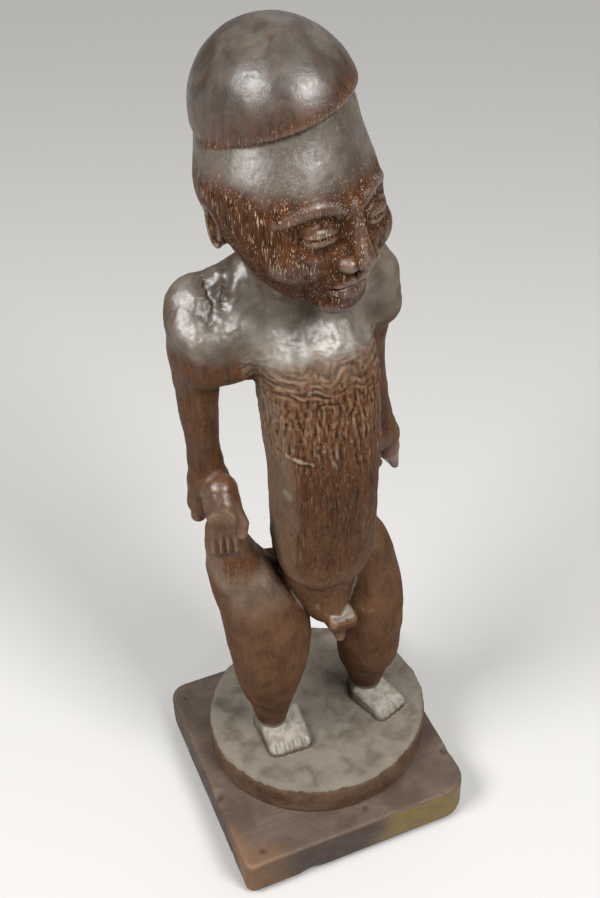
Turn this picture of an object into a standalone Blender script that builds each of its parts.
"""Carved ancestor figure on a square display plinth, in metres, +Z up, the figure facing -Y.

The origin is the centre of the footprint, on the surface the object stands on. The figure and its round
base are one block of wood, as the carver leaves them. The plinth is a separate board under it. Two wood
screws come up through the plinth into the round base, and four felt pads stick under the plinth's corners.
"""

import math

import bmesh
import bpy
from mathutils import Matrix, Vector

MM = 0.001

# Driving dimensions
GAP = 0.3 * MM  # clearance left between pieces that rest on each other
PLINTH_SIDE = 100 * MM
PLINTH_THICKNESS = 18 * MM
PLINTH_CORNER = 5 * MM
PLINTH_EDGE = 1.5 * MM
PAD_RADIUS = 7 * MM
PAD_THICKNESS = 2 * MM
PAD_INSET = 11 * MM  # pad centre to plinth edge
BASE_HALF_WIDTH = 46 * MM
BASE_HALF_DEPTH = 43.5 * MM
BASE_THICKNESS = 14 * MM
BASE_EDGE = 3 * MM  # rounding of the round base's upper edge
BASE_CENTRE = (3.5 * MM, 4 * MM)
SCREW_RADIUS = 2.1 * MM
SCREW_CORE = 1.5 * MM
SCREW_PITCH = 1.8 * MM
SCREW_LENGTH = 25 * MM
SCREW_HEAD_RADIUS = 4 * MM
SCREW_HEAD_DEPTH = 2.6 * MM
SCREW_SLOT_WIDTH = 1.1 * MM
SCREW_SLOT_DEPTH = 1.3 * MM
SCREW_RECESS = 1.2 * MM  # head below the plinth's underside
SCREW_SPACING = 44 * MM  # one screw under each foot
STANCE_CENTRE = 3 * MM  # midway between the feet
PILOT_SPARE = 1.0 * MM  # pilot hole beyond the screw's point

# Heights of the stack
PLINTH_BOTTOM = PAD_THICKNESS + GAP
PLINTH_TOP = PLINTH_BOTTOM + PLINTH_THICKNESS
FIGURE_BOTTOM = PLINTH_TOP + GAP

# Meshing of the carving: voxels fuse its masses, smoothing blends them, decimation keeps it light
VOXEL = 2.0 * MM
BLEND_STEPS = 5
KEPT_SHARE = 0.12
RING_POINTS = 24


def clear_scene():
    for obj in list(bpy.data.objects):
        bpy.data.objects.remove(obj)


def material(name, colour, roughness, metallic=0.0):
    made = bpy.data.materials.new(name)
    made.use_nodes = True
    shader = made.node_tree.nodes["Principled BSDF"]
    shader.inputs["Base Color"].default_value = (*colour, 1.0)
    shader.inputs["Roughness"].default_value = roughness
    shader.inputs["Metallic"].default_value = metallic
    return made


def new_object(name, bm, finish=None):
    mesh = bpy.data.meshes.new(name)
    bm.to_mesh(mesh)
    bm.free()
    obj = bpy.data.objects.new(name, mesh)
    bpy.context.scene.collection.objects.link(obj)
    if finish is not None:
        mesh.materials.append(finish)
    return obj


def helper(obj):
    """Marks a cutter, which shapes another piece and isn't one itself."""
    obj.hide_render = True
    obj.display_type = "WIRE"
    return obj


def boolean(obj, other, operation):
    modifier = obj.modifiers.new(operation.title() + " " + other.name, "BOOLEAN")
    modifier.operation = operation
    modifier.solver = "EXACT"
    modifier.object = other


def bridge(bm, rings):
    """Joins closed rings of the same number of points, listed from the bottom up, and caps both ends."""
    for low, high in zip(rings, rings[1:]):
        for step in range(len(low)):
            after = (step + 1) % len(low)
            bm.faces.new((low[step], low[after], high[after], high[step]))
    bm.faces.new(list(reversed(rings[0])))
    bm.faces.new(rings[-1])


def lathe(bm, profile, steps):
    """Turns (radius, height) points, listed from the bottom up, about +Z."""
    rings = []
    for radius, height in profile:
        ring = []
        for step in range(steps):
            turn = 2 * math.pi * step / steps
            ring.append(bm.verts.new((radius * math.cos(turn), radius * math.sin(turn), height)))
        rings.append(ring)
    bridge(bm, rings)


def loft(bm, sections, unit=MM, points=RING_POINTS):
    """Bridges level oval sections (x, y, z, half width, half depth), listed from the bottom up."""
    rings = []
    for x, y, z, half_width, half_depth in sections:
        ring = []
        for step in range(points):
            turn = 2 * math.pi * step / points
            point = Vector((x + half_width * math.cos(turn), y + half_depth * math.sin(turn), z))
            ring.append(bm.verts.new(point * unit))
        rings.append(ring)
    bridge(bm, rings)


def ball(bm, centre, radii, turn_z=0.0, lean=0.0):
    """An ellipsoid, in millimetres, leant about X and then turned about +Z."""
    place = (
        Matrix.Translation(Vector(centre) * MM)
        @ Matrix.Rotation(math.radians(turn_z), 4, "Z")
        @ Matrix.Rotation(math.radians(lean), 4, "X")
        @ Matrix.Diagonal((*(r * MM for r in radii), 1.0))
    )
    bmesh.ops.create_uvsphere(bm, u_segments=24, v_segments=16, radius=1.0, matrix=place)


def limb(bm, joints):
    """A limb through (x, y, z, radius) joints, in millimetres: a ball at each, tapered bars between."""
    for x, y, z, radius in joints:
        ball(bm, (x, y, z), (radius, radius, radius))
    for first, second in zip(joints, joints[1:]):
        start, end = Vector(first[:3]) * MM, Vector(second[:3]) * MM
        along = end - start
        bmesh.ops.create_cone(
            bm,
            cap_ends=True,
            segments=RING_POINTS,
            radius1=first[3] * MM,
            radius2=second[3] * MM,
            depth=along.length,
            matrix=Matrix.Translation((start + end) / 2) @ along.to_track_quat("Z", "Y").to_matrix().to_4x4(),
        )


# The carving's masses, in millimetres from the underside of its round base. +X is the figure's left.
HEAD_TURN = 18  # degrees towards the figure's left
HEAD_AXIS = (-3, 0)  # where the head's own vertical axis stands
TORSO = (
    (2, -2, 79, 10, 9),
    (2, -3, 88, 17, 15),
    (2, -4, 106, 21, 18),
    (2.5, -7, 128, 19.5, 17.5),
    (2, -9, 150, 19.5, 18.5),
    (1.5, -7, 174, 19.5, 17),
    (1.5, -2, 198, 19, 15),
    (-1, 2, 216, 22, 14),
    (-3, 4, 229, 15, 11),
)
RIGHT_LEG = (
    (-19.5, 3, 12, 8, 9),
    (-19.5, 2, 22, 8.5, 9),
    (-19.5, 1, 34, 11, 11.5),
    (-20, -3, 50, 13, 13.5),
    (-20, -5, 66, 15, 16),
    (-20, -2, 88, 18, 18.5),
    (-20, 2, 104, 19.5, 19.5),
    (-19.5, 4, 115, 17.5, 16),
    (-19, 5, 122, 11, 10),
)
LEFT_LEG = (
    (28.5, 5, 12, 8, 9),
    (28, 4, 22, 8.5, 9),
    (26.5, 2, 34, 11, 11.5),
    (25, -2, 50, 12.5, 13.5),
    (23.5, -4, 66, 14.5, 16),
    (21.5, -2, 88, 16.5, 18.5),
    (19.5, 2, 100, 16.8, 19),
    (18, 3, 110, 14.5, 15),
    (15, 3, 118, 8, 9),
)


def add_legs(bm):
    for sections, foot_turn in ((RIGHT_LEG, -8), (LEFT_LEG, 8)):
        loft(bm, sections)
        foot_x, foot_y = sections[0][:2]
        ball(bm, (foot_x, foot_y - 5, 15.5), (9.5, 15.5, 7.5), turn_z=foot_turn)
    for x in (-13, 14):
        ball(bm, (x, 13, 106), (12, 11, 14))
    limb(bm, ((2, -17, 100, 5.5), (3, -23, 93, 4.5), (3.5, -25.5, 89, 3)))


def add_shoulders(bm):
    """One heavy yoke from shoulder to shoulder, rising to the neck."""
    ball(bm, (-29.5, 8, 213), (14.5, 14.5, 21))
    ball(bm, (25.5, 8, 211), (12.5, 12.5, 19.5))
    ball(bm, (-3, 7, 219), (32, 15, 16))
    ball(bm, (-6, 8, 229), (23, 13, 17))


def add_arms(bm):
    """Upper arms that end in pointed elbows. One hand reaches the hip's front, the other the flank."""
    limb(bm, ((-35, 7.5, 196, 8), (-35.5, 9, 170, 6.2), (-33.5, 9.5, 148, 7), (-36, 12, 133, 3)))
    limb(bm, ((-34, 9, 143, 7), (-32, 0, 145, 7.5), (-33, -6, 141, 6.5), (-34, -9, 136, 4.5)))
    limb(bm, ((26, 9, 196, 8.5), (29, 9.5, 172, 6.5), (35.5, 11, 140, 6), (38.5, 12, 129, 3)))
    limb(bm, ((35, 10, 140, 6), (28, 2, 146, 6), (21, -6, 150, 5.5)))


def add_head(bm):
    """A tilted egg for the face, with a cap of dressed hair standing on it. The nose is a plain wedge."""
    turn = Matrix.Rotation(math.radians(HEAD_TURN), 3, "Z")

    def place(x, y, z):
        spun = turn @ Vector((x, y, 0))
        return (spun.x + HEAD_AXIS[0], spun.y + HEAD_AXIS[1], z)

    limb(bm, ((-2.5, 2, 218, 14), (-2, 0, 248, 14)))
    ball(bm, place(0, 5, 286), (24, 27, 26), turn_z=HEAD_TURN)
    ball(bm, place(0, -4, 272), (26, 25, 22), turn_z=HEAD_TURN)
    ball(bm, place(0, -8, 260), (25, 22, 27), turn_z=HEAD_TURN, lean=-15)
    ball(bm, place(1, -14, 248), (17, 17, 18), turn_z=HEAD_TURN, lean=-18)
    ball(bm, place(0, -28, 257), (4, 6, 9), turn_z=HEAD_TURN, lean=-15)
    for side in (-1, 1):
        ball(bm, place(side * 26, 3, 273), (3, 5.5, 9), turn_z=HEAD_TURN)


def add_base(bm):
    """The oval base with its rounded upper edge. It starts below the cut that flattens it."""
    x, y = BASE_CENTRE
    sections = [(x, y, -2 * VOXEL, BASE_HALF_WIDTH, BASE_HALF_DEPTH)]
    for turn in (math.radians(15 * step) for step in range(7)):
        inset = BASE_EDGE * (1 - math.cos(turn))
        height = BASE_THICKNESS - BASE_EDGE * (1 - math.sin(turn))
        sections.append((x, y, height, BASE_HALF_WIDTH - inset, BASE_HALF_DEPTH - inset))
    loft(bm, sections, unit=1.0, points=72)


def carved_figure(finish):
    """The figure and its round base: masses fused by voxels, blended, then sawn flat and bored underneath."""
    bm = bmesh.new()
    loft(bm, TORSO)
    add_legs(bm)
    add_shoulders(bm)
    add_arms(bm)
    add_head(bm)
    add_base(bm)
    bmesh.ops.recalc_face_normals(bm, faces=bm.faces)
    figure = new_object("carved_figure", bm, finish)
    figure.location.z = FIGURE_BOTTOM

    remesh = figure.modifiers.new("Fuse", "REMESH")
    remesh.mode = "VOXEL"
    remesh.voxel_size = VOXEL
    blend = figure.modifiers.new("Blend", "SMOOTH")
    blend.factor = 0.5
    blend.iterations = BLEND_STEPS
    thin = figure.modifiers.new("Thin", "DECIMATE")
    thin.ratio = KEPT_SHARE
    boolean(figure, saw_cut(), "DIFFERENCE")
    for side in (-1, 1):
        boolean(figure, pilot_cutter(side), "DIFFERENCE")
    return figure


def saw_cut():
    """Everything below the round base's underside."""
    bm = bmesh.new()
    side, depth = 2 * PLINTH_SIDE, 20 * MM
    place = Matrix.Translation((0, 0, FIGURE_BOTTOM - depth / 2)) @ Matrix.Diagonal((side, side, depth, 1))
    bmesh.ops.create_cube(bm, size=1, matrix=place)
    return helper(new_object("saw_cut", bm))


def screw_x(side):
    return STANCE_CENTRE + side * SCREW_SPACING / 2


def pilot_cutter(side):
    """A hole for one screw in the round base, a clearance wider than its thread."""
    top = PLINTH_BOTTOM + SCREW_RECESS + SCREW_LENGTH + PILOT_SPARE
    bottom = FIGURE_BOTTOM - 2 * MM
    bm = bmesh.new()
    lathe(bm, [(SCREW_RADIUS + GAP, bottom), (SCREW_RADIUS + GAP, top)], steps=24)
    cutter = new_object(f"pilot_cutter_{'right' if side < 0 else 'left'}", bm)
    cutter.location.x = screw_x(side)
    return helper(cutter)


def rounded_square(side, radius, height, points=6):
    """The outline of a square with round corners, anticlockwise, at one height."""
    outline = []
    reach = side / 2 - radius
    for quarter, (x, y) in enumerate(((reach, reach), (-reach, reach), (-reach, -reach), (reach, -reach))):
        for point in range(points + 1):
            turn = math.pi / 2 * (quarter + point / points)
            outline.append(Vector((x + radius * math.cos(turn), y + radius * math.sin(turn), height)))
    return outline


def plinth(finish):
    """The square board: round corners, softened edges, and two countersunk holes from below."""
    bm = bmesh.new()
    layers = (
        (PLINTH_EDGE, 0),
        (0, PLINTH_EDGE),
        (0, PLINTH_THICKNESS - PLINTH_EDGE),
        (0.3 * PLINTH_EDGE, PLINTH_THICKNESS - 0.3 * PLINTH_EDGE),
        (PLINTH_EDGE, PLINTH_THICKNESS),
    )
    rings = []
    for inset, height in layers:
        outline = rounded_square(PLINTH_SIDE - 2 * inset, PLINTH_CORNER - inset, height)
        rings.append([bm.verts.new(point) for point in outline])
    bridge(bm, rings)
    board = new_object("plinth", bm, finish)
    board.location.z = PLINTH_BOTTOM
    for side in (-1, 1):
        boolean(board, countersink_cutter(side), "DIFFERENCE")
    return board


def countersink_cutter(side):
    """The screw's own outline, a clearance wider, from below the plinth to above it."""
    head = SCREW_HEAD_RADIUS + GAP
    seat = SCREW_RECESS + SCREW_HEAD_DEPTH
    shank = SCREW_RADIUS + GAP
    profile = [
        (head, -2 * MM),
        (head, SCREW_RECESS),
        (shank, seat + GAP),
        (shank, PLINTH_THICKNESS + 2 * MM),
    ]
    bm = bmesh.new()
    lathe(bm, profile, steps=32)
    cutter = new_object(f"countersink_cutter_{'right' if side < 0 else 'left'}", bm)
    cutter.location = (screw_x(side), 0, PLINTH_BOTTOM)
    return helper(cutter)


def screw(side, finish):
    """A slotted countersunk wood screw, point up: head, plain shank, then a tapering helical thread."""
    steps, rows_per_turn = 12, 4
    shank_end = 0.4 * SCREW_LENGTH
    taper = 3.5 * SCREW_PITCH
    turns = (SCREW_LENGTH - shank_end) / SCREW_PITCH
    rows = int(turns * rows_per_turn)

    def radius(height, turn):
        if height <= SCREW_HEAD_DEPTH:
            return SCREW_HEAD_RADIUS + (SCREW_RADIUS - SCREW_HEAD_RADIUS) * height / SCREW_HEAD_DEPTH
        if height <= shank_end:
            return SCREW_RADIUS
        phase = ((height - shank_end) / SCREW_PITCH - turn / (2 * math.pi)) % 1.0
        crest = 1 - abs(2 * phase - 1)
        full = SCREW_CORE + (SCREW_RADIUS - SCREW_CORE) * crest
        return full * min(1.0, (SCREW_LENGTH - height) / taper + 0.08)

    heights = [0, SCREW_HEAD_DEPTH, shank_end]
    heights += [shank_end + (SCREW_LENGTH - shank_end) * (row + 1) / rows for row in range(rows)]
    bm = bmesh.new()
    rings = []
    for height in heights:
        ring = []
        for step in range(steps):
            turn = 2 * math.pi * step / steps
            reach = radius(height, turn)
            ring.append(bm.verts.new((reach * math.cos(turn), reach * math.sin(turn), height)))
        rings.append(ring)
    bridge(bm, rings)
    name = "right" if side < 0 else "left"
    made = new_object(f"mount_screw_{name}", bm, finish)
    made.location = (screw_x(side), 0, PLINTH_BOTTOM + SCREW_RECESS)
    boolean(made, slot_cutter(side, name), "DIFFERENCE")
    return made


def slot_cutter(side, name):
    bm = bmesh.new()
    size = (3 * SCREW_HEAD_RADIUS, SCREW_SLOT_WIDTH, 2 * SCREW_SLOT_DEPTH, 1)
    bmesh.ops.create_cube(bm, size=1, matrix=Matrix.Diagonal(size))
    cutter = new_object(f"slot_cutter_{name}", bm)
    cutter.location = (screw_x(side), 0, PLINTH_BOTTOM + SCREW_RECESS)
    cutter.rotation_euler.z = math.radians(35 * side)
    return helper(cutter)


def felt_pads(finish):
    reach = PLINTH_SIDE / 2 - PAD_INSET
    for depth, row in ((-1, "front"), (1, "back")):
        for side, column in ((-1, "right"), (1, "left")):
            bm = bmesh.new()
            lathe(bm, [(PAD_RADIUS, 0), (PAD_RADIUS, PAD_THICKNESS)], steps=32)
            pad = new_object(f"felt_pad_{row}_{column}", bm, finish)
            pad.location = (side * reach, depth * reach, 0)


def soften(obj):
    obj.data.shade_smooth()
    obj.data.set_sharp_from_angle(angle=math.radians(35))


def main():
    clear_scene()
    carved_wood = material("carved_wood", (0.085, 0.042, 0.026), 0.45)
    plinth_wood = material("plinth_wood", (0.13, 0.095, 0.075), 0.55)
    screw_steel = material("screw_steel", (0.42, 0.40, 0.37), 0.40, metallic=1.0)
    dark_felt = material("dark_felt", (0.035, 0.033, 0.032), 0.95)
    carved_figure(carved_wood)
    plinth(plinth_wood)
    for side in (-1, 1):
        screw(side, screw_steel)
    felt_pads(dark_felt)
    for obj in bpy.data.objects:
        soften(obj)


main()
